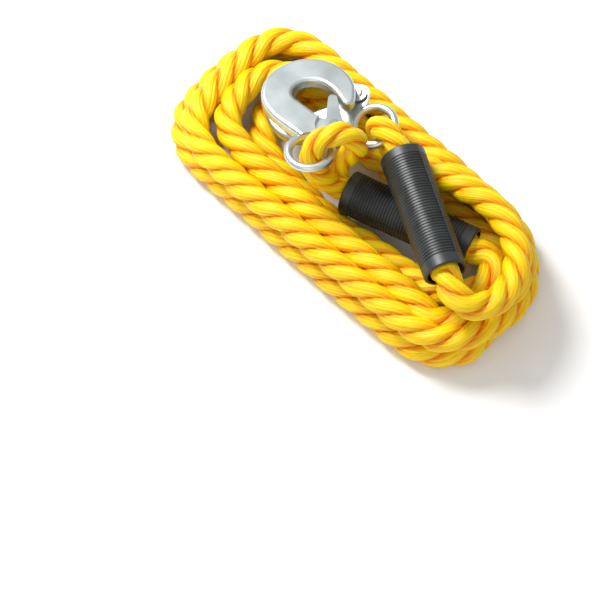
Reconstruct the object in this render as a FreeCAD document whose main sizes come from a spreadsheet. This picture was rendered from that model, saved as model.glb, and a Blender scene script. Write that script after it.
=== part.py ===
import FreeCAD, Part
import math
import os
from FreeCAD import Vector, Placement, Rotation, Matrix

# Hanked three-strand tow rope with a latched eye hook on each end.
# Millimetres. +Z is up, the floor is z = 0, +X runs along the hank.
# End 1 has the hook that lies on top; end 2 has the hook that lies under it.

doc = FreeCAD.newDocument("tow_rope")

# ---------------------------------------------------------------- driving dimensions
sheet = doc.addObject("Spreadsheet::Sheet", "Sheet")
DIMENSIONS = [
    ("rope_dia", 20.0),
    ("eye_rope_dia", 15.0),
    ("turn_half_length", 141.0),
    ("turn_half_width", 61.0),
    ("turn_corner", 47.0),
    ("layer_rise", 17.0),
    ("ring_pitch_radius", 15.0),
    ("ring_wire", 3.0),
    ("hook_thickness", 10.0),
    ("hook_round", 2.8),
    ("boss_thickness", 4.4),
    ("pivot_along", 20.0),
    ("pivot_across", 19.0),
    ("boss_radius", 8.0),
    ("boss_recess", 13.5),
    ("rivet_radius", 2.0),
    ("rivet_head_radius", 3.7),
    ("rivet_head_height", 1.3),
    ("latch_hole", 2.06),
    ("latch_width", 10.2),
    ("latch_sheet", 1.2),
    ("latch_reach", 28.0),
    ("latch_base", 6.4),
    ("latch_nose", 3.2),
    ("spring_wire", 0.8),
    ("spring_radius", 2.75),
    ("sleeve_length", 98.0),
    ("sleeve_mouth_radius", 16.2),
    ("sleeve_end_radius", 15.2),
    ("sleeve_wall", 2.2),
    ("sleeve_band", 7.0),
    ("rib_pitch", 2.2),
    ("rib_depth", 0.7),
]
for row, (alias, number) in enumerate(DIMENSIONS, start=1):
    sheet.set("A%d" % row, alias)
    sheet.set("B%d" % row, str(number))
    sheet.setAlias("B%d" % row, alias)
doc.recompute()


def size(alias):
    """A driving dimension as a plain number."""
    return float(getattr(sheet, alias))


# ---------------------------------------------------------------- places in the frame
ROPE = size("rope_dia")
LAYER = [ROPE / 2, ROPE / 2 + size("layer_rise")]

SLEEVE_1_MOUTH = Vector(0, -6.8, 25)
SLEEVE_1_END = Vector(94, 21.3, 26)
SLEEVE_2_MOUTH = Vector(19.5, 26.6, 57.5)
SLEEVE_2_END = Vector(105, -20.5, 60.5)

RING_1 = Vector(-21.5, -24, 74.5)
HOOK_1_LOAD = Vector(-0.767, 0.642, -0.20)
HOOK_1_TIP_SIDE = Vector(0.642, 0.767, 0)
RING_2 = Vector(-14, 33, 52)
HOOK_2_LOAD = Vector(-0.921, -0.320, -0.208)
HOOK_2_TIP_SIDE = Vector(-0.320, 0.921, 0.1545)
LATCH_REST = 3.0

# The top turn of the hank, from the lower right corner round to the upper right corner.
TOP_TURN = [
    (120, -40, 26), (92, -35, 27), (48, -34.5, 27), (0, -35, 27), (-48, -34, 27),
    (-84, -31, 27), (-106, -20, 26), (-115, 0, 24), (-107, 19, 22), (-84, 30, 22),
    (-46, 31, 23), (-4, 32, 24), (30, 39, 31), (62, 46, 40), (92, 47, 45),
    (118, 39, 46), (134, 26, 46), (142.5, 8, 46), (142.5, -3, 47),
]
# The rope between the hank and each sleeve.
LEAD_1 = [
    (0, 0, 0), (107, 25, 26), (116, 20, 27.5), (120, 9, 28.5), (118, -4, 28), (110, -18, 24.5), (96, -30, 19.5),
    (80, -36, 15),
]
LEAD_2 = [(142.5, -3, 47), (142.5, -15, 49), (134, -27, 53), (120, -29, 59.5), (0, 0, 0)]

# The rope eye through each ring: out of the sleeve, over the ring, down through it and back.
EYE_1 = [
    (8, -4, 27), (-8, -8.2, 28), (-13, -5, 42), (-7.5, 1, 59), (0, 4, 76), (-9.5, 0, 87),
    (-18.5, -15.5, 87), (-21.2, -23, 74.5), (-18, -26, 62), (-13.5, -23, 51), (-9.5, -17, 40), (-4, -9.6, 28),
    (8, -4, 24),
]
EYE_2 = [
    (22, 25.5, 60), (7, 30, 66), (-6.9, 29.7, 64), (-11.5, 32.7, 52.3), (-3.7, 34.3, 42.2), (5.5, 33, 42.2),
    (22, 25.5, 56),
]


# ---------------------------------------------------------------- helpers
def origin_plane(body, role):
    """The body's own origin plane with this role."""
    for feature in body.Origin.OriginFeatures:
        if feature.Role == role:
            return feature
    raise ValueError("no plane " + role)


def new_sketch(body, name, role, curves):
    """A sketch on the body's own origin plane that holds the curves."""
    sketch = body.newObject("Sketcher::SketchObject", name)
    sketch.AttachmentSupport = (origin_plane(body, role), [""])
    sketch.MapMode = "FlatFace"
    for curve in curves:
        sketch.addGeometry(curve, False)
    return sketch


def line(a, b):
    return Part.LineSegment(Vector(a[0], a[1], 0), Vector(b[0], b[1], 0))


def bow(a, mid, b):
    """A circular arc through three points."""
    return Part.Arc(Vector(a[0], a[1], 0), Vector(mid[0], mid[1], 0), Vector(b[0], b[1], 0))


def closed_lines(points):
    return [line(points[i], points[(i + 1) % len(points)]) for i in range(len(points))]


def circle(x, y, radius):
    return Part.Circle(Vector(x, y, 0), Vector(0, 0, 1), radius)


def on_axes(origin, along, across):
    """A placement whose X is along, whose Y is as near to across as it can be."""
    x = Vector(along).normalize()
    z = x.cross(across).normalize()
    y = z.cross(x)
    turn = Matrix(x.x, y.x, z.x, origin.x, x.y, y.y, z.y, origin.y, x.z, y.z, z.z, origin.z, 0, 0, 0, 1)
    return Placement(turn)


def rounded_path(name, points):
    """Straight runs with the largest tangent arcs that they leave room for."""
    edges = []
    radii = []
    here = Vector(*points[0])
    for i in range(1, len(points) - 1):
        before, corner, after = (Vector(*points[i + k]) for k in (-1, 0, 1))
        run_in = corner - before
        run_out = after - corner
        turn = run_in.getAngle(run_out)
        reach = 0.45 * min(run_in.Length, run_out.Length)
        radius = reach / math.tan(turn / 2)
        to_before = (before - corner).normalize()
        to_after = (after - corner).normalize()
        start = corner + to_before * reach
        end = corner + to_after * reach
        inward = (to_before + to_after).normalize()
        middle = corner + inward * (radius / math.cos(turn / 2) - radius)
        edges.append(Part.LineSegment(here, start).toShape())
        edges.append(Part.Arc(start, middle, end).toShape())
        radii.append(radius)
        here = end
    edges.append(Part.LineSegment(here, Vector(*points[-1])).toShape())
    print(name, "arc radii", " ".join("%.0f" % radius for radius in radii))
    return edges


def sweep_round(name, edges, diameter):
    """A round tube along these edges, checked by its volume."""
    path = Part.Wire(edges)
    first = edges[0]
    start = first.valueAt(first.FirstParameter)
    heading = first.tangentAt(first.FirstParameter)
    ring = Part.Circle(start, heading, diameter / 2).toShape()
    solid = path.makePipeShell([Part.Wire(ring)], True, True)
    expected = math.pi * diameter ** 2 / 4 * path.Length
    print(name, "length %.0f volume ratio %.3f" % (path.Length, solid.Volume / expected))
    return solid


def tube(name, points, diameter):
    return sweep_round(name, rounded_path(name, points), diameter)


def feature(name, shape, placement=None):
    """A finished sub-part from a shape."""
    item = doc.addObject("Part::Feature", name)
    item.Label = name
    item.Shape = shape
    if placement is not None:
        item.Placement = placement
    return item


nodes = []


# ---------------------------------------------------------------- hank
def hull_section(centres, radius):
    """The outline round equal circles, as arcs joined by their shared tangents."""
    count = len(centres)
    normals = []
    for i in range(count):
        run = (centres[(i + 1) % count] - centres[i]).normalize()
        normals.append(Vector(run.y, -run.x, 0))
    edges = []
    for i in range(count):
        centre = centres[i]
        into = normals[i - 1]
        out = normals[i]
        middle = (into + out).normalize()
        arc = Part.Arc(centre + into * radius, centre + middle * radius, centre + out * radius)
        edges.append(arc)
        run = Part.LineSegment(centre + out * radius, centres[(i + 1) % count] + out * radius)
        edges.append(run)
    return edges


def make_hank():
    """Three turns as one ring of their outer shape, and the top turn lying on them."""
    half_x = size("turn_half_length")
    half_y = size("turn_half_width")
    corner = size("turn_corner")
    section_centres = [
        Vector(-half_y, LAYER[0], 0),
        Vector(-half_y + ROPE - 1, LAYER[0], 0),
        Vector(-half_y + ROPE / 2 - 1, LAYER[1], 0),
    ]
    section = Part.Wire([e.toShape() for e in hull_section(section_centres, ROPE / 2)])
    stand = Matrix(0, 0, 1, 0, 1, 0, 0, 0, 0, 1, 0, 0, 0, 0, 0, 1)
    section = section.transformGeometry(stand)
    path = []
    flat_x = half_x - corner
    flat_y = half_y - corner
    diagonal = corner * math.sqrt(0.5)
    places = [(1, -1), (1, 1), (-1, 1), (-1, -1)]
    stops = []
    for sign_x, sign_y in places:
        centre = Vector(sign_x * flat_x, sign_y * flat_y, LAYER[0])
        side_a = centre + Vector(0, sign_y * corner, 0)
        side_b = centre + Vector(sign_x * corner, 0, 0)
        middle = centre + Vector(sign_x * diagonal, sign_y * diagonal, 0)
        ends = (side_a, middle, side_b) if sign_x == -sign_y else (side_b, middle, side_a)
        stops.append(ends)
    first = Vector(0, -half_y, LAYER[0])
    here = first
    for ends in stops:
        path.append(Part.LineSegment(here, ends[0]).toShape())
        path.append(Part.Arc(*ends).toShape())
        here = ends[2]
    path.append(Part.LineSegment(here, first).toShape())
    ring = Part.Wire(path).makePipeShell([section], True, False)
    top = tube("top_turn", TOP_TURN, ROPE)
    return ring.fuse(top).removeSplitter()


hank_shape = make_hank()
nodes.append(feature("rope_hank", hank_shape))


# ---------------------------------------------------------------- sleeves and splices
def sleeve_radius(along):
    """Outer radius of the sleeve at this distance from its mouth."""
    share = along / size("sleeve_length")
    return size("sleeve_mouth_radius") + share * (size("sleeve_end_radius") - size("sleeve_mouth_radius"))


def revolved_body(name, points, placement):
    """A body turned about its own X axis from a closed outline in its XY plane."""
    body = doc.addObject("PartDesign::Body", name)
    body.Label = name
    outline = new_sketch(body, name + "_outline", "XY_Plane", closed_lines(points))
    turned = body.newObject("PartDesign::Revolution", name + "_turned")
    turned.Profile = outline
    turned.ReferenceAxis = (outline, ["H_Axis"])
    turned.Angle = 360
    body.Placement = placement
    return body


def make_sleeve(name, placement):
    """A moulded tube with a plain band at each end and ribs between them."""
    length = size("sleeve_length")
    band = size("sleeve_band")
    pitch = size("rib_pitch")
    depth = size("rib_depth")
    outline = [(0, sleeve_radius(0) - size("sleeve_wall")), (0, sleeve_radius(0) - 0.8), (0.8, sleeve_radius(0))]
    ribs = int((length - 2 * band) / pitch)
    first = (length - ribs * pitch) / 2
    for i in range(ribs):
        start = first + i * pitch
        outline.append((start, sleeve_radius(start)))
        outline.append((start + 0.25 * pitch, sleeve_radius(start) - depth))
        outline.append((start + 0.45 * pitch, sleeve_radius(start) - depth))
        outline.append((start + 0.70 * pitch, sleeve_radius(start)))
    outline.append((length - 0.8, sleeve_radius(length)))
    outline.append((length, sleeve_radius(length) - 0.8))
    outline.append((length, sleeve_radius(length) - size("sleeve_wall")))
    return revolved_body(name, outline, placement)


def make_splice(name, placement):
    """The swollen stretch where the strands are tucked back into the rope."""
    length = size("sleeve_length")
    bore = sleeve_radius(0) - size("sleeve_wall")
    outline = [
        (0, 0), (0, bore - 1.0), (6, bore - 0.5), (38, bore - 1.2),
        (76, ROPE / 2), (length, ROPE / 2), (length, 0),
    ]
    return revolved_body(name, outline, placement)


def along_axis(mouth, end):
    return on_axes(mouth, end - mouth, Vector(0, 0, 1).cross(end - mouth))


SLEEVE_PLACES = [along_axis(SLEEVE_1_MOUTH, SLEEVE_1_END), along_axis(SLEEVE_2_MOUTH, SLEEVE_2_END)]
exits = []
for end, place in enumerate(SLEEVE_PLACES, start=1):
    nodes.append(make_sleeve("sleeve_%d" % end, place))
    nodes.append(make_splice("splice_%d" % end, place))
    exits.append(place.multVec(Vector(size("sleeve_length"), 0, 0)))

# ---------------------------------------------------------------- leads and rope eyes
LEAD_1[0] = tuple(exits[0])
LEAD_2[-1] = tuple(exits[1])
nodes.append(feature("rope_lead_1", tube("rope_lead_1", LEAD_1, ROPE)))
nodes.append(feature("rope_lead_2", tube("rope_lead_2", LEAD_2, ROPE)))


def make_eye(name, points):
    """The loop through the ring: an upper and a lower leg that join inside the ring."""
    edges = rounded_path(name, points)
    half = len(edges) // 2
    upper = sweep_round(name + "_upper", edges[:half], size("eye_rope_dia"))
    lower = sweep_round(name + "_lower", edges[half:], size("eye_rope_dia"))
    return feature(name, upper.fuse(lower))


nodes.append(make_eye("rope_eye_1", EYE_1))
nodes.append(make_eye("rope_eye_2", EYE_2))


# ---------------------------------------------------------------- hooks
# The bow of the hook, from the back of the neck round the bow and the tip into the throat.
HOOK_BOW = [
    (12.6, -6.0), (24.0, -15.5), (38.0, -25.6), (53.0, -29.5), (70.5, -24.3), (83.0, -10.0), (86.5, 4.0),
    (82.7, 19.5), (71.5, 32.0), (57.0, 37.2), (46.0, 36.4), (39.4, 33.0), (39.0, 28.8), (44.0, 25.6),
    (54.5, 20.8), (62.4, 13.0), (64.0, 3.5), (59.8, -4.8), (52.0, -7.2), (44.5, -2.4), (37.0, 3.6), (29.6, 9.5),
]


def hook_outline():
    """The flat forging seen square on: neck, back, bow, tip, throat and the latch boss."""
    bow_edge = Part.BSplineCurve()
    bow_edge.interpolate([Vector(x, y, 0) for x, y in HOOK_BOW])
    neck_back = HOOK_BOW[0]
    throat_edge = HOOK_BOW[-1]
    neck_front = (11.0, 9.6)

    def on_boss(degrees):
        angle = math.radians(degrees)
        boss = size("boss_radius")
        return (size("pivot_along") + boss * math.cos(angle), size("pivot_across") + boss * math.sin(angle))

    return [
        bow_edge,
        line(throat_edge, on_boss(-10)),
        bow(on_boss(-10), on_boss(70), on_boss(150)),
        line(on_boss(150), neck_front),
        bow(neck_front, (14.0, 1.8), neck_back),
    ]


def make_hook(name, placement):
    """A forged hook: a flat bow with rounded edges and a round eye ring."""
    body = doc.addObject("PartDesign::Body", name)
    body.Label = name
    outline = new_sketch(body, name + "_outline", "XY_Plane", hook_outline())
    plate = body.newObject("PartDesign::Pad", name + "_plate")
    plate.Profile = outline
    plate.setExpression("Length", "Sheet.hook_thickness")
    plate.Midplane = True
    doc.recompute()
    edges = []
    for index, edge in enumerate(plate.Shape.Edges, start=1):
        box = edge.BoundBox
        round_the_bow = box.ZLength < 1e-3 and edge.Length > 200
        if round_the_bow:
            edges.append("Edge%d" % index)
    rounded = body.newObject("PartDesign::Fillet", name + "_rounded")
    rounded.Base = (plate, edges)
    rounded.setExpression("Radius", "Sheet.hook_round")
    doc.recompute()
    recess_outline = [circle(size("pivot_along"), size("pivot_across"), size("boss_recess"))]
    floor = size("boss_thickness") / 2
    for side, sign in (("upper", 1), ("lower", -1)):
        recess_sketch = new_sketch(body, name + "_recess_" + side, "XY_Plane", recess_outline)
        recess_sketch.AttachmentOffset = Placement(Vector(0, 0, sign * floor), Rotation())
        recess = body.newObject("PartDesign::Pocket", name + "_recess_cut_" + side)
        recess.Profile = recess_sketch
        recess.Length = size("hook_thickness")
        recess.Reversed = sign > 0
        doc.recompute()
    bore_sketch = new_sketch(body, name + "_bore_outline", "XY_Plane",
                             [circle(size("pivot_along"), size("pivot_across"), size("rivet_radius"))])
    bore = body.newObject("PartDesign::Pocket", name + "_bore")
    bore.Profile = bore_sketch
    bore.Length = 2 * size("hook_thickness")
    bore.Midplane = True
    ring = body.newObject("PartDesign::AdditiveTorus", name + "_ring")
    ring.setExpression("Radius1", "Sheet.ring_pitch_radius")
    ring.setExpression("Radius2", "Sheet.ring_wire")
    doc.recompute()
    print(name, "volume", "%.0f" % body.Shape.Volume, "solids", len(body.Shape.Solids))
    body.Placement = placement
    return body


def make_rivet(name, placement):
    """A headed rivet through the boss, which the latch turns on."""
    radius = size("rivet_radius")
    head = size("rivet_head_radius")
    inner = size("latch_width") / 2 + 0.1
    outer = inner + size("rivet_head_height")
    outline = [
        (-outer, 0), (-outer, head - 1.2), (-outer + 0.9, head), (-inner, head), (-inner, radius),
        (inner, radius), (inner, head), (outer - 0.9, head), (outer, head - 1.2), (outer, 0),
    ]
    upright = Placement(Vector(size("pivot_along"), size("pivot_across"), 0), Rotation(Vector(0, 1, 0), -90))
    return revolved_body(name, outline, placement.multiply(upright))


def latch_place(placement):
    """The latch's own frame: its pivot, with X towards its nose."""
    pivot = Placement(Vector(size("pivot_along"), size("pivot_across"), 0), Rotation(Vector(0, 0, 1), LATCH_REST))
    return placement.multiply(pivot)


def latch_edge(inset):
    """Upper edge of the latch from its base to its nose, set in by this much."""
    base = size("latch_base") - inset
    nose = size("latch_nose") - inset
    reach = size("latch_reach") - inset
    return base, nose, reach


def make_latch(name, placement):
    """A folded sheet latch: two cheeks either side of the boss, joined by a web on the mouth side."""
    body = doc.addObject("PartDesign::Body", name)
    body.Label = name
    base, nose, reach = latch_edge(0)
    slope = (base - nose) / reach
    outline = new_sketch(body, name + "_outline", "XY_Plane", [
        bow((0, base), (-base, 0), (0, -base)),
        line((0, -base), (reach - nose, -nose)),
        bow((reach - nose, -nose), (reach, 0), (reach - nose, nose)),
        line((reach - nose, nose), (0, base)),
    ])
    blank = body.newObject("PartDesign::Pad", name + "_blank")
    blank.Profile = outline
    blank.setExpression("Length", "Sheet.latch_width")
    blank.Midplane = True
    inner_base, inner_nose, inner_reach = latch_edge(size("latch_sheet"))
    channel_points = [
        (10.5, inner_base - 10.5 * slope - 0.2), (inner_reach - inner_nose, inner_nose - 0.2),
        (inner_reach, 0), (inner_reach, -3 * base), (-3 * base, -3 * base),
        (-3 * base, 3 * base), (10.5, 3 * base),
    ]
    channel_outline = new_sketch(body, name + "_channel_outline", "XY_Plane", closed_lines(channel_points))
    channel = body.newObject("PartDesign::Pocket", name + "_channel")
    channel.Profile = channel_outline
    channel.setExpression("Length", "Sheet.latch_width - 2 * Sheet.latch_sheet")
    channel.Midplane = True
    bore_outline = new_sketch(body, name + "_bore_outline", "XY_Plane", [circle(0, 0, size("latch_hole"))])
    bore = body.newObject("PartDesign::Pocket", name + "_bore")
    bore.Profile = bore_outline
    bore.Length = 2 * size("latch_width")
    bore.Midplane = True
    doc.recompute()
    print(name, "volume", "%.0f" % body.Shape.Volume, "solids", len(body.Shape.Solids))
    body.Placement = latch_place(placement)
    return body


def make_spring(name, placement):
    """A double torsion spring: close coils each side of the boss, legs under the latch, one bridge."""
    wire = size("spring_wire") / 2
    radius = size("spring_radius")
    inner = size("boss_thickness") / 2 + 0.05
    stack = 2 * size("spring_wire")
    reach = 13.0
    pieces = []
    for sign in (1, -1):
        foot = inner if sign > 0 else -inner - stack
        coils = Part.makeCylinder(radius + wire, stack, Vector(0, 0, foot))
        coils = coils.cut(Part.makeCylinder(radius - wire, 3 * stack, Vector(0, 0, foot - stack)))
        height = foot + stack / 2
        latch_leg = Part.makeBox(reach, 2 * wire, 2 * wire, Vector(0, radius - 1.2 * wire, height - wire))
        boss_leg = Part.makeBox(5.0, 2 * wire, 2 * wire, Vector(-5.0, -radius - 0.8 * wire, height - wire))
        pieces += [coils, latch_leg, boss_leg]
    span = 2 * inner + stack
    corner = Vector(reach - 2 * wire, radius - 1.2 * wire, -span / 2)
    pieces.append(Part.makeBox(2 * wire, 2 * wire, span, corner))
    spring = pieces[0].multiFuse(pieces[1:])
    return feature(name, spring, latch_place(placement))


HOOK_PLACES = [on_axes(RING_1, HOOK_1_LOAD, HOOK_1_TIP_SIDE), on_axes(RING_2, HOOK_2_LOAD, HOOK_2_TIP_SIDE)]
for end, place in enumerate(HOOK_PLACES, start=1):
    nodes.append(make_hook("hook_%d" % end, place))
    nodes.append(make_rivet("latch_rivet_%d" % end, place))
    nodes.append(make_latch("latch_%d" % end, place))
    nodes.append(make_spring("latch_spring_%d" % end, place))
    pivot = place.multVec(Vector(size("pivot_along"), size("pivot_across"), 0))
    lever = place.Rotation.multVec(Vector(0, 1, 0))
    normal = place.Rotation.multVec(Vector(0, 0, 1))
    load = place.Rotation.multVec(Vector(1, 0, 0))
    print("hook", end, "pivot", pivot, "normal", normal, "across", lever, "load", load)

# ---------------------------------------------------------------- checks and export
doc.recompute()
for item in doc.Objects:
    if "Invalid" in item.State or "Error" in item.State:
        raise RuntimeError("failed feature: " + item.Name)
os.makedirs("parts", exist_ok=True)
for node in nodes:
    shape = node.Shape
    if shape.isNull() or not shape.isValid():
        raise RuntimeError("bad shape: " + node.Label)
    if node.Label == "rope_hank":
        print("rope_hank solids", len(shape.Solids), "volume %.0f" % shape.Volume)
    shape.exportStep("parts/" + node.Label + ".step")
print(len(nodes), "nodes written")
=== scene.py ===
import math

import bmesh
import bpy
import numpy as np
from mathutils import Matrix, Vector


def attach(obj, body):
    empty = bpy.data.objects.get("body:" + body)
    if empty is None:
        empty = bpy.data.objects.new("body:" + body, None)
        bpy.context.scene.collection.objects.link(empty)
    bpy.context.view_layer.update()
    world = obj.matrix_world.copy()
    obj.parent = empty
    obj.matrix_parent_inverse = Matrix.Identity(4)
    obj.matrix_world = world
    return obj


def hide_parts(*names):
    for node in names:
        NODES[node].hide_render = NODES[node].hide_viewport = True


# A hanked three-strand tow rope with a latched eye hook on each end.
# Metres. The hank lies on the floor, which is z = 0, and its long way is X.

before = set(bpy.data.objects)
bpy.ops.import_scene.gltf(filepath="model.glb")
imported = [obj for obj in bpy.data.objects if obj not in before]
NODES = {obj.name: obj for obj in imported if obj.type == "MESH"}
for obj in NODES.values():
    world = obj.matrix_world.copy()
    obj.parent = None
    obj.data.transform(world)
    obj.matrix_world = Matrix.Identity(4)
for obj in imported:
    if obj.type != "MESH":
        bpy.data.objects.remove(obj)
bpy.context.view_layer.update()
for loaded in bpy.context.selected_objects:
    loaded.select_set(False)

MM = 0.001
ROPE_DIA = 20 * MM
EYE_DIA = 16.5 * MM
LAY_LENGTH = 56 * MM
EYE_LAY_LENGTH = 50 * MM
STRANDS = 3
LEFT_LAID = -1
STRAND_SHARE = 0.262
STRAND_FLAT = 0.93
STRAND_WIDE = 1.07
YARN_TWIST = 0.85
FIBRE_SCALE = 30
wander = np.random.default_rng(7)


# ---------------------------------------------------------------- routes
def in_metres(points):
    return [tuple(c * MM for c in p) for p in points]


SLEEVE_LENGTH = 98 * MM
SLEEVE_1_MOUTH = Vector((0, -6.8, 25)) * MM
SLEEVE_1_WAY = Vector((94, 28.1, 1)).normalized()
SLEEVE_2_MOUTH = Vector((19.5, 26.6, 57.5)) * MM
SLEEVE_2_WAY = Vector((85.5, -47.1, 3)).normalized()

RINGS = [Vector((-21.5, -24, 74.5)) * MM, Vector((-14, 33, 52)) * MM]
LOADS = [Vector((-0.767, 0.642, -0.20)), Vector((-0.921, -0.320, -0.208))]
TIP_SIDES = [Vector((0.642, 0.767, 0)), Vector((-0.320, 0.921, 0.1545))]
PIVOT = (20 * MM, 19 * MM)
LATCH_REST = math.radians(3)

LEAD_1 = in_metres([
    (107, 25, 26), (116, 20, 27.5), (120, 9, 28.5), (118, -4, 27), (110, -14, 23), (95, -19.5, 17.5),
    (72, -20, 12), (42, -21, 10.5), (8, -27, 10.5), (-30, -25, 10.5), (-60, -22, 10.5),
    (-82, -13, 10.5), (-93, 2, 10.5),
])
TOP_TURN = in_metres([
    (121, -42, 28), (94, -38, 31), (50, -38.5, 29), (0, -38.5, 28.5), (-44, -38.5, 29),
    (-76, -37, 29), (-102, -31, 28.5), (-113.5, -4, 28.5), (-112, 23, 27), (-92, 38.5, 25),
    (-46, 37.5, 24), (-6, 35.5, 25.5), (29, 39, 37), (62, 46, 45), (92, 47, 48),
    (117, 38, 49), (132, 25, 49.5), (140, 8, 50), (141, -3, 51),
])
LEAD_2 = in_metres([(140.5, -15, 53), (133, -26, 56), (120, -28.7, 60)])
EYE_1 = in_metres([
    (8, -4, 27), (-8, -8.2, 28), (-13, -5, 42), (-7.5, 1, 59), (0, 4, 76), (-9.5, 0, 87),
    (-18.5, -15.5, 87), (-21.2, -23, 74.5), (-18, -26, 62), (-13.5, -23, 51), (-9.5, -17, 40),
    (-4, -9.6, 28), (8, -4, 24),
])
EYE_2 = in_metres([
    (22, 25.5, 60), (7, 30, 66), (-6.9, 29.7, 64), (-11.5, 32.7, 52.3), (-3.7, 34.3, 42.2),
    (5.5, 33, 42.2), (22, 25.5, 56),
])


def hook_axes(end):
    """The hook's own axes: towards its bow, towards its tip side and square to its flat face."""
    along = LOADS[end].normalized()
    square = along.cross(TIP_SIDES[end]).normalized()
    across = square.cross(along)
    return Matrix((along, across, square)).transposed().to_4x4()


def latch_frame(end):
    """The latch's own frame: its pivot, with X towards its nose."""
    axes = hook_axes(end)
    pivot = RINGS[end] + axes.to_3x3() @ Vector((*PIVOT, 0))
    return Matrix.Translation(pivot) @ axes @ Matrix.Rotation(LATCH_REST, 4, "Z")


# Each turn's corners, clockwise from above and from the lower right, in millimetres:
# how far out it reaches in X and Y, its radius and its height.
TURNS = [
    [None, None, (-97, 27, 26, 10.5), (121.5, 43.5, 28, 10.5)],
    [(144.5, -58, 44, 10.5), (-140, -60, 45, 10.5), (-142, 62, 35, 10.5), (143, 62, 60, 10.5)],
    [(142, -54, 39, 29), (-127, -57, 38, 27), (-133, 60, 37, 28), (140, 55, 53, 29)],
]
FIRST_ANGLES = (-15, -105, -195, -285)
CORNER_STEP = 30
RUN_SHARES = (0.2, 0.5, 0.8)
LOOSENESS = 1.6 * MM


def corner_points(number, x, y, radius, height):
    """Three points round one corner of a turn, in metres."""
    reach = radius / math.cos(math.radians(CORNER_STEP / 2))
    centre = (math.copysign(abs(x) - radius, x), math.copysign(abs(y) - radius, y))
    points = []
    for step in range(3):
        angle = math.radians(FIRST_ANGLES[number] - CORNER_STEP * step)
        x_place = centre[0] + reach * math.cos(angle)
        y_place = centre[1] + reach * math.sin(angle)
        points.append(Vector((x_place, y_place, height)) * MM)
    return points


def turns_of_hank():
    """The turns under the top one, loosely laid, from the inner turn outwards and then on top."""
    points = []
    for turn in TURNS:
        for number, corner in enumerate(turn):
            if corner is None:
                continue
            fresh = corner_points(number, *corner)
            if points and number in (1, 3):
                here, there = points[-1], fresh[0]
                for share in RUN_SHARES:
                    sway = wander.uniform(-1, 1)
                    at = here.lerp(there, share)
                    lift = abs(sway) * 0.3 * LOOSENESS if at.z > ROPE_DIA else 0
                    points.append(at + Vector((0, sway * LOOSENESS, lift)))
            points += fresh
    return [tuple(p) for p in points]


def rope_route():
    """The whole free rope: out of one sleeve, round the hank, into the other sleeve."""
    return (
        [tuple(SLEEVE_1_MOUTH + SLEEVE_1_WAY * (SLEEVE_LENGTH - 12 * MM)),
         tuple(SLEEVE_1_MOUTH + SLEEVE_1_WAY * SLEEVE_LENGTH)]
        + LEAD_1 + turns_of_hank() + TOP_TURN + LEAD_2
        + [tuple(SLEEVE_2_MOUTH + SLEEVE_2_WAY * SLEEVE_LENGTH),
           tuple(SLEEVE_2_MOUTH + SLEEVE_2_WAY * (SLEEVE_LENGTH - 12 * MM))]
    )


def smooth_line(name, route):
    """The route as one smooth NURBS line, and the points read from it."""
    data = bpy.data.curves.new(name, "CURVE")
    data.dimensions = "3D"
    data.resolution_u = 24
    spline = data.splines.new("NURBS")
    spline.points.add(len(route) - 1)
    for point, place in zip(spline.points, route):
        point.co = (*place, 1)
    spline.order_u = 3
    spline.use_endpoint_u = True
    line = bpy.data.objects.new(name, data)
    bpy.context.scene.collection.objects.link(line)
    bpy.context.view_layer.update()
    mesh = bpy.data.meshes.new_from_object(line)
    points = np.array([v.co for v in mesh.vertices])
    bpy.data.meshes.remove(mesh)
    bpy.data.objects.remove(line)
    bpy.data.curves.remove(data)
    return points


# ---------------------------------------------------------------- rope making
def evenly(points, step):
    """Points at even steps along a line, and how far along each one is."""
    gaps = np.linalg.norm(np.diff(points, axis=0), axis=1)
    keep = np.concatenate([[True], gaps > 1e-9])
    points = points[keep]
    along = np.concatenate([[0], np.cumsum(np.linalg.norm(np.diff(points, axis=0), axis=1))])
    count = max(8, int(round(along[-1] / step)))
    places = np.linspace(0, along[-1], count)
    return np.stack([np.interp(places, along, points[:, k]) for k in range(3)], axis=1), places


def headings(points):
    ways = np.gradient(points, axis=0)
    return ways / np.linalg.norm(ways, axis=1)[:, None]


def carried_axes(points, ways):
    """Side directions carried along a line without twist."""
    side = np.cross(ways[0], (0, 0, 1))
    if np.linalg.norm(side) < 0.1:
        side = np.cross(ways[0], (0, 1, 0))
    side /= np.linalg.norm(side)
    sides = [side]
    for i in range(1, len(points)):
        turn = Vector(ways[i - 1]).rotation_difference(Vector(ways[i]))
        turned = np.array(turn @ Vector(sides[-1]))
        turned -= ways[i] * np.dot(turned, ways[i])
        sides.append(turned / np.linalg.norm(turned))
    sides = np.array(sides)
    return sides, np.cross(ways, sides)


def soft_noise(places, seed, length):
    """A smooth random value along a line, from about -1 to 1."""
    draw = np.random.default_rng(seed)
    count = int(places[-1] / length) + 4
    return np.interp(places / length, np.arange(count), draw.uniform(-1, 1, count))


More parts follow.
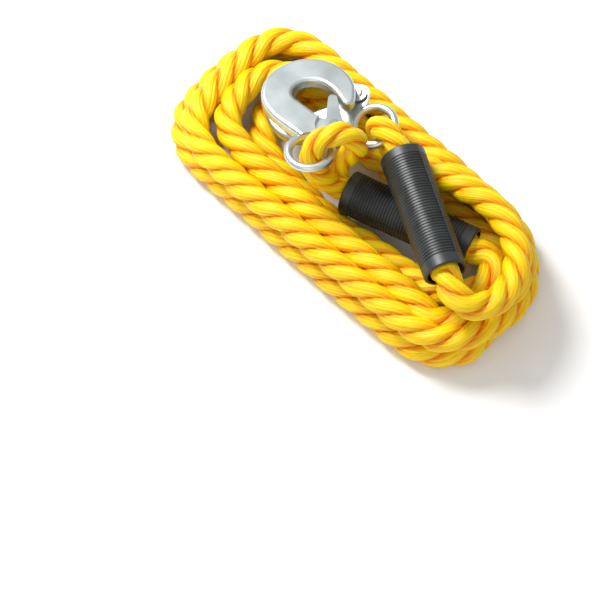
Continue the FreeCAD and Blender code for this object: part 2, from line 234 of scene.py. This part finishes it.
def tube_mesh(name, rings, fibre, groove_shade):
    """A skin over rings of points, with the fibre's own coordinates on every point."""
    count, around = rings.shape[:2]
    mesh = bpy.data.meshes.new(name)
    vertices = rings.reshape(-1, 3)
    faces = []
    for i in range(count - 1):
        for k in range(around):
            a = i * around + k
            b = i * around + (k + 1) % around
            faces.append((a, b, b + around, a + around))
    faces.append(tuple(range(around - 1, -1, -1)))
    faces.append(tuple((count - 1) * around + k for k in range(around)))
    mesh.from_pydata(vertices.tolist(), [], faces)
    layer = mesh.attributes.new("fibre", "FLOAT_VECTOR", "POINT")
    layer.data.foreach_set("vector", fibre.reshape(-1).astype(np.float32))
    # The painted shade weight for the strand grooves, which the rope finish turns orange.
    depth = mesh.attributes.new("groove_shade", "FLOAT", "POINT")
    depth.data.foreach_set("value", groove_shade.reshape(-1).astype(np.float32))
    mesh.shade_smooth()
    obj = bpy.data.objects.new(name, mesh)
    bpy.context.scene.collection.objects.link(obj)
    turned = bmesh.new()
    turned.from_mesh(mesh)
    bmesh.ops.recalc_face_normals(turned, faces=turned.faces)
    turned.to_mesh(mesh)
    turned.free()
    return obj


def strand_skin(name, line, places, ways, outward, size, yarns, seed, twist):
    """One strand: a bundle of twisted yarns, egg shaped, its round side outward."""
    around = yarns * 4
    side = np.cross(ways, outward)
    theta = np.linspace(0, 2 * math.pi, around, endpoint=False)
    swell = 1 + 0.06 * soft_noise(places, seed, 0.019) + 0.035 * soft_noise(places, seed + 1, 0.007)
    yarn = theta[None, :] + twist[:, None]
    flat = 0.95 + 0.05 * np.cos(theta)
    lobe = np.abs(np.cos(yarn * yarns / 2)) ** 0.8
    uneven = 0.5 + 0.5 * np.cos(yarn * 3 + seed)
    bump = 1 + (0.10 + 0.06 * uneven) * (lobe - 0.5)
    radius = size * swell[:, None] * flat[None, :] * bump
    rings = (
        line[:, None, :]
        + outward[:, None, :] * (radius * np.cos(theta)[None, :])[:, :, None] * STRAND_FLAT
        + side[:, None, :] * (radius * np.sin(theta)[None, :])[:, :, None] * STRAND_WIDE
    )
    run = np.repeat(places[:, None] * FIBRE_SCALE, around, axis=1)
    fibre = np.stack([np.cos(yarn), np.sin(yarn), run], axis=2)
    # Painted shade weight: highest on each strand's inner side, where it meets the other strands, and
    # in the valleys between yarns.
    depth = np.clip(0.5 - 0.5 * np.cos(theta), 0, 1)[None, :] * np.ones((len(line), 1))
    groove_shade = np.clip(depth * 0.8 + 0.34 * (1 - lobe), 0, 1)
    return tube_mesh(name, rings, fibre, groove_shade)


def lay_rope(name, points, diameter, lay_length, step, yarns, seed):
    """Three strands laid round each other along a line."""
    line, places = evenly(points, step)
    ways = headings(line)
    sides, ups = carried_axes(line, ways)
    strand = diameter * STRAND_SHARE
    helix = diameter / 2 - strand * STRAND_FLAT
    wobble = 0.4 * soft_noise(places, seed + 50, 0.09)
    made = []
    for number in range(STRANDS):
        turn = LEFT_LAID * 2 * math.pi * places / lay_length + 2 * math.pi * number / STRANDS + wobble
        outward = sides * np.cos(turn)[:, None] + ups * np.sin(turn)[:, None]
        centre = line + outward * helix
        strand_ways = headings(centre)
        straight = outward - strand_ways * np.sum(outward * strand_ways, axis=1)[:, None]
        straight /= np.linalg.norm(straight, axis=1)[:, None]
        made.append(strand_skin(
            "%s_strand_%d" % (name, number + 1), centre, places, strand_ways, straight, strand, yarns,
            seed + 10 * number, YARN_TWIST * turn,
        ))
    return made, line


# ---------------------------------------------------------------- finishes
def new_finish(name):
    material = bpy.data.materials.new(name)
    material.use_nodes = True
    nodes = material.node_tree.nodes
    return material, nodes, material.node_tree.links, nodes["Principled BSDF"]


def colour_ramp(nodes, stops):
    ramp = nodes.new("ShaderNodeValToRGB")
    elements = ramp.color_ramp.elements
    while len(elements) < len(stops):
        elements.new(0.5)
    for element, (place, colour) in zip(elements, stops):
        element.position = place
        element.color = (*colour, 1)
    return ramp


def streaks(nodes, links, fibre, scale, detail):
    """Noise drawn out along the yarn."""
    stretch = nodes.new("ShaderNodeMapping")
    stretch.inputs["Scale"].default_value = scale
    links.new(fibre.outputs["Vector"], stretch.inputs["Vector"])
    noise = nodes.new("ShaderNodeTexNoise")
    noise.inputs["Scale"].default_value = 1.0
    noise.inputs["Detail"].default_value = detail
    links.new(stretch.outputs["Vector"], noise.inputs["Vector"])
    return noise


def rope_finish():
    """Glossy yellow filament yarn: bright on the crowns, with painted shade in orange down in the
    grooves between strands and yarns and in the low furrows of the filament bump.
    """
    material, nodes, links, shader = new_finish("yellow_filament")
    fibre = nodes.new("ShaderNodeAttribute")
    fibre.attribute_name = "fibre"
    groove_shade = nodes.new("ShaderNodeAttribute")
    groove_shade.attribute_name = "groove_shade"
    filaments = streaks(nodes, links, fibre, (7, 7, 0.5), 4)
    hairs = streaks(nodes, links, fibre, (20, 20, 1.6), 2)
    patch = nodes.new("ShaderNodeTexNoise")
    patch.inputs["Scale"].default_value = 1.3
    patch.inputs["Detail"].default_value = 2
    links.new(fibre.outputs["Vector"], patch.inputs["Vector"])
    # Painted shade mixed with random streaks: the filament noise that raises the bump also turns its
    # low furrows orange and its high streaks bright yellow.
    tone = colour_ramp(nodes, [
        (0.32, (0.92, 0.48, 0.0)), (0.46, (1.0, 0.68, 0.0)), (0.62, (1.0, 0.82, 0.005)),
    ])
    links.new(filaments.outputs["Fac"], tone.inputs["Fac"])
    # Painted shade: deep orange mixed in by the groove weight, strongest on the strands' inner sides
    # and between yarns.
    shaded = nodes.new("ShaderNodeMix")
    shaded.data_type = "RGBA"
    shaded.inputs[7].default_value = (0.93, 0.24, 0.0, 1)
    links.new(tone.outputs["Color"], shaded.inputs[6])
    shade_amount = nodes.new("ShaderNodeMapRange")
    shade_amount.inputs["From Min"].default_value = 0.12
    shade_amount.inputs["From Max"].default_value = 0.54
    shade_amount.inputs["To Max"].default_value = 0.92
    links.new(groove_shade.outputs["Fac"], shade_amount.inputs["Value"])
    links.new(shade_amount.outputs["Result"], shaded.inputs[0])
    dye = nodes.new("ShaderNodeMix")
    dye.data_type = "RGBA"
    dye.blend_type = "MULTIPLY"
    dye.inputs[0].default_value = 0.35
    shade = colour_ramp(nodes, [(0.3, (0.93, 0.82, 0.7)), (0.7, (1, 1, 1))])
    links.new(patch.outputs["Fac"], shade.inputs["Fac"])
    links.new(shaded.outputs[2], dye.inputs[6])
    links.new(shade.outputs["Color"], dye.inputs[7])
    links.new(dye.outputs[2], shader.inputs["Base Color"])
    coarse = nodes.new("ShaderNodeBump")
    coarse.inputs["Strength"].default_value = 0.8
    coarse.inputs["Distance"].default_value = 0.0011
    links.new(filaments.outputs["Fac"], coarse.inputs["Height"])
    fine = nodes.new("ShaderNodeBump")
    fine.inputs["Strength"].default_value = 0.5
    fine.inputs["Distance"].default_value = 0.0004
    links.new(hairs.outputs["Fac"], fine.inputs["Height"])
    links.new(coarse.outputs["Normal"], fine.inputs["Normal"])
    links.new(fine.outputs["Normal"], shader.inputs["Normal"])
    rough = nodes.new("ShaderNodeMapRange")
    rough.inputs["To Min"].default_value = 0.30
    rough.inputs["To Max"].default_value = 0.52
    links.new(filaments.outputs["Fac"], rough.inputs["Value"])
    links.new(rough.outputs["Result"], shader.inputs["Roughness"])
    shader.inputs["Specular IOR Level"].default_value = 0.35
    return material


def zinc_finish(name, tint, rough_low, rough_high, speck):
    """Bright zinc plate: faint cloudy patches, fine scratches and small pits."""
    material, nodes, links, shader = new_finish(name)
    place = nodes.new("ShaderNodeTexCoord")
    cloud = nodes.new("ShaderNodeTexNoise")
    cloud.inputs["Scale"].default_value = 60
    cloud.inputs["Detail"].default_value = 4
    links.new(place.outputs["Object"], cloud.inputs["Vector"])
    grain = nodes.new("ShaderNodeTexNoise")
    grain.inputs["Scale"].default_value = speck
    grain.inputs["Detail"].default_value = 3
    links.new(place.outputs["Object"], grain.inputs["Vector"])
    plate = colour_ramp(nodes, [
        (0.25, tuple(0.93 * c for c in tint)), (0.55, tint),
        (0.8, tuple(min(1, 1.06 * c) for c in tint)),
    ])
    links.new(cloud.outputs["Fac"], plate.inputs["Fac"])
    links.new(plate.outputs["Color"], shader.inputs["Base Color"])
    rough = nodes.new("ShaderNodeMapRange")
    rough.inputs["From Min"].default_value = 0.3
    rough.inputs["From Max"].default_value = 0.7
    rough.inputs["To Min"].default_value = rough_low
    rough.inputs["To Max"].default_value = rough_high
    links.new(cloud.outputs["Fac"], rough.inputs["Value"])
    links.new(rough.outputs["Result"], shader.inputs["Roughness"])
    bump = nodes.new("ShaderNodeBump")
    bump.inputs["Strength"].default_value = 0.12
    bump.inputs["Distance"].default_value = 0.0003
    links.new(grain.outputs["Fac"], bump.inputs["Height"])
    links.new(bump.outputs["Normal"], shader.inputs["Normal"])
    shader.inputs["Metallic"].default_value = 1.0
    return material


def sleeve_finish():
    """Black moulded rubber: satin, faintly green grey, in faint random cloudy patches with a fine
    grain.
    """
    material, nodes, links, shader = new_finish("black_rubber")
    place = nodes.new("ShaderNodeTexCoord")
    cloud = nodes.new("ShaderNodeTexNoise")
    cloud.inputs["Scale"].default_value = 90
    cloud.inputs["Detail"].default_value = 5
    links.new(place.outputs["Object"], cloud.inputs["Vector"])
    tone = colour_ramp(nodes, [(0.3, (0.012, 0.014, 0.014)), (0.7, (0.030, 0.036, 0.036))])
    links.new(cloud.outputs["Fac"], tone.inputs["Fac"])
    links.new(tone.outputs["Color"], shader.inputs["Base Color"])
    rough = nodes.new("ShaderNodeMapRange")
    rough.inputs["To Min"].default_value = 0.30
    rough.inputs["To Max"].default_value = 0.50
    links.new(cloud.outputs["Fac"], rough.inputs["Value"])
    links.new(rough.outputs["Result"], shader.inputs["Roughness"])
    grain = nodes.new("ShaderNodeTexNoise")
    grain.inputs["Scale"].default_value = 900
    links.new(place.outputs["Object"], grain.inputs["Vector"])
    bump = nodes.new("ShaderNodeBump")
    bump.inputs["Strength"].default_value = 0.15
    bump.inputs["Distance"].default_value = 0.0002
    links.new(grain.outputs["Fac"], bump.inputs["Height"])
    links.new(bump.outputs["Normal"], shader.inputs["Normal"])
    shader.inputs["Specular IOR Level"].default_value = 0.6
    return material


def floor_finish():
    material, nodes, links, shader = new_finish("pale_floor")
    place = nodes.new("ShaderNodeTexCoord")
    cloud = nodes.new("ShaderNodeTexNoise")
    cloud.inputs["Scale"].default_value = 3
    links.new(place.outputs["Object"], cloud.inputs["Vector"])
    tone = colour_ramp(nodes, [(0.3, (0.86, 0.86, 0.86)), (0.7, (0.90, 0.90, 0.90))])
    links.new(cloud.outputs["Fac"], tone.inputs["Fac"])
    links.new(tone.outputs["Color"], shader.inputs["Base Color"])
    shader.inputs["Roughness"].default_value = 0.8
    return material


YELLOW = rope_finish()
HOOK_ZINC = zinc_finish("hook_zinc_plate", (0.62, 0.68, 0.68), 0.33, 0.41, 700)
LATCH_ZINC = zinc_finish("latch_zinc_plate", (0.57, 0.625, 0.63), 0.32, 0.42, 900)
RIVET_STEEL = zinc_finish("rivet_steel", (0.48, 0.52, 0.53), 0.25, 0.40, 1200)
SPRING_STEEL = zinc_finish("spring_steel", (0.40, 0.43, 0.45), 0.22, 0.34, 1500)
RUBBER = sleeve_finish()


def dress(obj, material):
    obj.data.materials.clear()
    obj.data.materials.append(material)


def ride_rope(pieces, body="root"):
    for piece in pieces:
        dress(piece, YELLOW)
        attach(piece, body)


# ---------------------------------------------------------------- the rope and its eyes
free_line = smooth_line("rope_line", rope_route())
rope, rope_path = lay_rope("rope", free_line, ROPE_DIA, LAY_LENGTH, 2.4 * MM, 11, 3)
EYE_LAY = (EYE_DIA, EYE_LAY_LENGTH, 1.5 * MM, 10)
eye_1, eye_1_path = lay_rope("eye_1", smooth_line("eye_1_line", EYE_1), *EYE_LAY, 83)
eye_2, eye_2_path = lay_rope("eye_2", smooth_line("eye_2_line", EYE_2), *EYE_LAY, 131)
ride_rope(rope + eye_1 + eye_2)
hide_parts("rope_hank", "rope_lead_1", "rope_lead_2")
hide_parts("rope_eye_1")
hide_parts("rope_eye_2")


# ---------------------------------------------------------------- latch springs
SPRING_WIRE = 0.8 * MM
COIL_RADIUS = 2.75 * MM
COIL_FOOT = 2.65 * MM
COIL_PITCH = 0.84 * MM
COIL_TURNS = 1.5
LEG_REACH = 12.6 * MM


def wire_piece(name, points, place):
    """Round spring wire along these points, in a frame of its own."""
    data = bpy.data.curves.new(name, "CURVE")
    data.dimensions = "3D"
    data.resolution_u = 4
    data.bevel_depth = SPRING_WIRE / 2
    data.bevel_resolution = 3
    data.use_fill_caps = True
    spline = data.splines.new("NURBS")
    spline.points.add(len(points) - 1)
    for point, at in zip(spline.points, points):
        point.co = (*(place @ Vector(at)), 1)
    spline.order_u = 3
    spline.use_endpoint_u = True
    wire = bpy.data.objects.new(name, data)
    bpy.context.scene.collection.objects.link(wire)
    bpy.ops.object.select_all(action="DESELECT")
    wire.select_set(True)
    bpy.context.view_layer.objects.active = wire
    bpy.ops.object.convert(target="MESH")
    bpy.ops.object.shade_smooth()
    wire.select_set(False)
    return wire


def coil_points(side):
    """Close turns round the rivet, and the short leg that rests on the boss."""
    points = [
        (-5.2 * MM, -COIL_RADIUS, side * (COIL_FOOT - 0.2 * MM)),
        (-2.5 * MM, -COIL_RADIUS, side * COIL_FOOT),
    ]
    steps = 24
    reach = COIL_RADIUS / math.cos(math.pi / steps * 2)
    for step in range(int(steps * COIL_TURNS) + 1):
        angle = -math.pi / 2 + 2 * math.pi * step / steps
        rise = COIL_FOOT + COIL_PITCH * step / steps
        points.append((reach * math.cos(angle), reach * math.sin(angle), side * rise))
    return points


for end in range(2):
    place = latch_frame(end)
    body = "hook_%d" % (end + 1)
    for side, hand in ((1, "upper"), (-1, "lower")):
        coil = wire_piece("spring_coil_%s_%d" % (hand, end + 1), coil_points(side), place)
        dress(coil, SPRING_STEEL)
        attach(coil, body)
        if side > 0:
            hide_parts("latch_spring_%d" % (end + 1))
    level = COIL_FOOT + COIL_PITCH * COIL_TURNS
    legs = [
        (0, COIL_RADIUS, level), (3 * MM, COIL_RADIUS, level),
        (LEG_REACH - 1.5 * MM, COIL_RADIUS, level),
        (LEG_REACH, COIL_RADIUS, level), (LEG_REACH, COIL_RADIUS, level - 1.5 * MM),
        (LEG_REACH, COIL_RADIUS, 1.5 * MM - level), (LEG_REACH, COIL_RADIUS, -level),
        (LEG_REACH - 1.5 * MM, COIL_RADIUS, -level), (3 * MM, COIL_RADIUS, -level),
        (0, COIL_RADIUS, -level),
    ]
    bridge = wire_piece("spring_legs_%d" % (end + 1), legs, place)
    dress(bridge, SPRING_STEEL)
    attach(bridge, "latch_%d" % (end + 1))


# ---------------------------------------------------------------- sleeve seams
SEAM_LIFT = 15.72 * MM
SLEEVE_TAPER = 1 * MM


def sleeve_seam(end, mouth, way, angle):
    """The thin flash line where the sleeve's mould closed, as a low ridge from band to band."""
    bpy.ops.mesh.primitive_cube_add(size=1, location=(0, 0, 0))
    seam = bpy.context.active_object
    seam.name = "sleeve_seam_%d" % end
    bpy.ops.object.mode_set(mode="EDIT")
    bpy.ops.mesh.select_all(action="SELECT")
    bpy.ops.transform.resize(value=(SLEEVE_LENGTH - 2 * MM, 0.7 * MM, 0.7 * MM))
    bpy.ops.mesh.bevel(offset=0.22 * MM, segments=2, affect="EDGES")
    bpy.ops.mesh.select_all(action="DESELECT")
    bpy.ops.object.mode_set(mode="OBJECT")
    slope = math.atan2(SLEEVE_TAPER, SLEEVE_LENGTH)
    across = way.cross(Vector((0, 0, 1))).normalized()
    up = across.cross(way)
    axes = Matrix((way, across, up)).transposed().to_4x4()
    place = (
        Matrix.Translation(mouth + way * SLEEVE_LENGTH / 2) @ axes @ Matrix.Rotation(angle, 4, "X")
        @ Matrix.Translation((0, 0, SEAM_LIFT)) @ Matrix.Rotation(slope, 4, "Y")
    )
    seam.data.transform(place)
    bpy.ops.object.shade_smooth_by_angle(angle=math.radians(40))
    dress(seam, RUBBER)
    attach(seam, "sleeve_%d" % end)
    seam.select_set(False)


sleeve_seam(1, SLEEVE_1_MOUTH, SLEEVE_1_WAY, math.radians(-62))
sleeve_seam(2, SLEEVE_2_MOUTH, SLEEVE_2_WAY, math.radians(38))


# ---------------------------------------------------------------- stray fibres
FIBRE_KNOTS = 7
FIBRE_RADIUS = 0.13 * MM
FIBRE_FLOOR = 0.4 * MM


def stray_fibres(name, path, count, seed, reach, spread):
    """Loose hairs that stand off the rope, each a thin tapered three-sided fibre."""
    draw = np.random.default_rng(seed)
    ways = headings(path)
    sides, ups = carried_axes(path, ways)
    vertices = []
    faces = []
    for _ in range(count):
        i = int(draw.integers(2, len(path) - 2))
        angle = draw.uniform(0, 2 * math.pi)
        out = sides[i] * math.cos(angle) + ups[i] * math.sin(angle)
        run = ways[i] * draw.choice((-1, 1))
        lean = draw.uniform(-0.5, 0.5)
        cross = np.cross(ways[i], out)
        length = draw.uniform(0.4, 1.0) * spread
        start = path[i] + out * reach * 0.9
        here = len(vertices)
        for k in range(FIBRE_KNOTS):
            share = k / (FIBRE_KNOTS - 1)
            lift = length * (0.42 * share ** 1.3 - 0.30 * share ** 3 * draw.uniform(0.2, 1.2))
            at = start + run * length * share * 0.85 + out * lift + cross * length * lean * share ** 1.5
            at[2] = max(at[2], FIBRE_FLOOR)
            thick = FIBRE_RADIUS * (1 - 0.7 * share)
            for corner in range(3):
                turn = 2 * math.pi * corner / 3
                vertices.append(at + out * thick * math.cos(turn) + cross * thick * math.sin(turn))
        for k in range(FIBRE_KNOTS - 1):
            for corner in range(3):
                a = here + 3 * k + corner
                b = here + 3 * k + (corner + 1) % 3
                faces.append((a, b, b + 3, a + 3))
        faces.append((here + 2, here + 1, here))
        last = here + 3 * (FIBRE_KNOTS - 1)
        faces.append((last, last + 1, last + 2))
    mesh = bpy.data.meshes.new(name)
    mesh.from_pydata([tuple(v) for v in vertices], [], faces)
    turned = bmesh.new()
    turned.from_mesh(mesh)
    bmesh.ops.recalc_face_normals(turned, faces=turned.faces)
    turned.to_mesh(mesh)
    turned.free()
    obj = bpy.data.objects.new(name, mesh)
    bpy.context.scene.collection.objects.link(obj)
    return obj


fibres = [
    stray_fibres("stray_fibres_hank", rope_path, 230, 5, ROPE_DIA / 2, 11 * MM),
    stray_fibres("stray_fibres_eye_1", eye_1_path, 40, 9, EYE_DIA / 2, 13 * MM),
    stray_fibres("stray_fibres_eye_2", eye_2_path, 30, 7, EYE_DIA / 2, 10 * MM),
]
ride_rope(fibres)

for name in ("splice_1", "splice_2"):
    dress(NODES[name], YELLOW)
for name in ("sleeve_1", "sleeve_2"):
    dress(NODES[name], RUBBER)
for end in (1, 2):
    dress(NODES["hook_%d" % end], HOOK_ZINC)
    dress(NODES["latch_%d" % end], LATCH_ZINC)
    dress(NODES["latch_rivet_%d" % end], RIVET_STEEL)
    dress(NODES["latch_spring_%d" % end], SPRING_STEEL)

# ---------------------------------------------------------------- floor, light, camera
bpy.ops.mesh.primitive_plane_add(size=12, location=(0, 0, 0))
floor = bpy.context.active_object
floor.name = "floor"
dress(floor, floor_finish())


def soft_light(name, place, aim, width, power):
    light = bpy.data.lights.new(name, "AREA")
    light.shape = "DISK"
    light.size = width
    light.energy = power
    obj = bpy.data.objects.new(name, light)
    bpy.context.scene.collection.objects.link(obj)
    obj.location = place
    obj.rotation_euler = (Vector(aim) - Vector(place)).to_track_quat("-Z", "Y").to_euler()
    return obj


soft_light("key", (-0.75, -0.05, 0.95), (0, 0, 0), 0.5, 17)
soft_light("fill", (0.7, -1.0, 0.9), (0, 0, 0), 1.2, 4)

world = bpy.data.worlds.new("studio")
bpy.context.scene.world = world
world.use_nodes = True
sky_nodes = world.node_tree.nodes
sky_links = world.node_tree.links
sky_place = sky_nodes.new("ShaderNodeTexCoord")
sky_split = sky_nodes.new("ShaderNodeSeparateXYZ")
sky_tone = colour_ramp(sky_nodes, [
    (0.0, (0.45, 0.46, 0.47)), (0.35, (0.52, 0.53, 0.54)),
    (0.62, (1.0, 1.0, 1.0)), (1.0, (0.80, 0.81, 0.82)),
])
sky_links.new(sky_place.outputs["Generated"], sky_split.inputs["Vector"])
sky_links.new(sky_split.outputs["Z"], sky_tone.inputs["Fac"])
sky_links.new(sky_tone.outputs["Color"], sky_nodes["Background"].inputs["Color"])
sky_nodes["Background"].inputs["Strength"].default_value = 0.72

camera_data = bpy.data.cameras.new("camera")
camera = bpy.data.objects.new("camera", camera_data)
bpy.context.scene.collection.objects.link(camera)
CAMERA_PLACE = Vector((503.3, -558.2, 1319.0)) * MM
CAMERA_AIM = Vector((35.2, -90.1, 20.0)) * MM
camera.location = CAMERA_PLACE
camera.rotation_euler = (CAMERA_AIM - CAMERA_PLACE).to_track_quat("-Z", "Y").to_euler()
camera_data.lens = 126
camera_data.sensor_width = 36
camera_data.clip_start = 0.01
camera_data.clip_end = 30
bpy.context.scene.camera = camera

settings = bpy.context.scene.view_settings
settings.view_transform = "Standard"
settings.look = "None"
